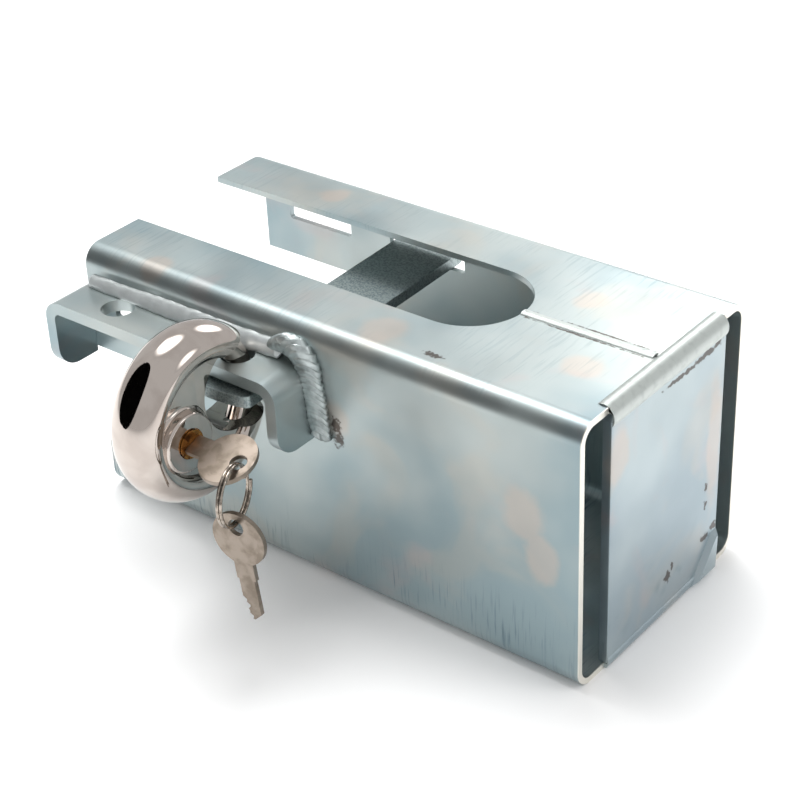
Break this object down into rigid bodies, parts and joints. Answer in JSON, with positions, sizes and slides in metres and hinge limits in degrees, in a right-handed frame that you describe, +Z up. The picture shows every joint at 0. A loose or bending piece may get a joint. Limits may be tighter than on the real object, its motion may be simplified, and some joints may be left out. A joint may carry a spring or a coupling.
{
  "type": "trailer coupler lock",
  "caption": "Folded steel box that encloses a trailer coupling head, closed by a sliding bar and a round disc padlock with keys on a split ring.",
  "frame": {"origin": "middle of the box underside, on the floor", "axes": "+X along the box towards its closed end, -Y towards the padlock side, +Z up through the open-slotted top"},
  "size_m": [0.2422, 0.1864, 0.1205],
  "materials": {
    "zinc_sheet": "zinc plated, pale blue passivated, satin",
    "zinc_weld": "rippled weld metal under zinc plate",
    "zinc_bar": "zinc plated flat bar, smooth",
    "blasted_bar": "zinc plated over blasted, grainy surface",
    "polished_stainless": "mirror polished stainless steel",
    "die_cast_core": "as cast",
    "steel_small": "bright drawn steel",
    "brass": "machined brass",
    "nickel_key": "nickel plated, worn satin",
    "ring_steel": "bright spring steel wire"
  },
  "bodies": {
    "box": {"box_body": "zinc_sheet", "seam_weld": "zinc_weld", "end_plate": "zinc_sheet", "end_plate_top_weld": "zinc_weld", "end_plate_bottom_weld": "zinc_weld", "guard_bracket": "zinc_bar", "guard_long_weld": "zinc_weld", "guard_tab_weld": "zinc_weld"},
    "bar": {"locking_bar": "blasted_bar"},
    "padlock": {"padlock_front_shell": "polished_stainless", "padlock_rear_shell": "polished_stainless", "padlock_core": "die_cast_core", "padlock_rivets": "steel_small", "shackle_channel": "steel_small", "cylinder_housing": "brass", "chamber_strip": "brass", "driver_pins": "brass", "pin_springs": "steel_small"},
    "shackle_arc": {"shackle": "polished_stainless"},
    "plug": {"cylinder_plug": "brass", "plug_clip": "steel_small", "drive_cam": "steel_small", "key_pins": "brass", "key_in_lock": "nickel_key"},
    "ring": {"split_ring": "ring_steel"},
    "loose_key": {"spare_key": "nickel_key"}
  },
  "joints": [
    {"name": "bar_slide", "type": "slide", "parent": "box", "child": "bar", "axis": [0.0279, -0.9996, 0], "range_m": [-0.0012, 0.0012]},
    {"name": "padlock_swivel", "type": "hinge", "parent": "box", "child": "padlock", "pos_m": [-0.029, -0.0625, 0.091], "axis": [0, 0, 1], "range_deg": [-12, 12]},
    {"name": "plug_turn", "type": "hinge", "parent": "padlock", "child": "plug", "pos_m": [-0.029, -0.10261, 0.08285], "axis": [1, 0, 0], "range_deg": [-90, 0]},
    {"name": "shackle_turn", "type": "hinge", "parent": "padlock", "child": "shackle_arc", "pos_m": [-0.029, -0.09, 0.086], "axis": [1, 0, 0], "range_deg": [0, 90]},
    {"name": "ring_swing", "type": "hinge", "parent": "plug", "child": "ring", "pos_m": [0.006, -0.10261, 0.08285], "axis": [0.9613, 0.2756, 0], "range_deg": [-20, 10]},
    {"name": "loose_key_swing", "type": "hinge", "parent": "ring", "child": "loose_key", "pos_m": [0.00768, -0.10848, 0.06226], "axis": [-0.2756, 0.9613, 0], "range_deg": [-20, 20]}
  ],
  "couplings": [
    {"joint": "shackle_turn", "follows": "plug_turn", "ratio": -1}
  ]
}
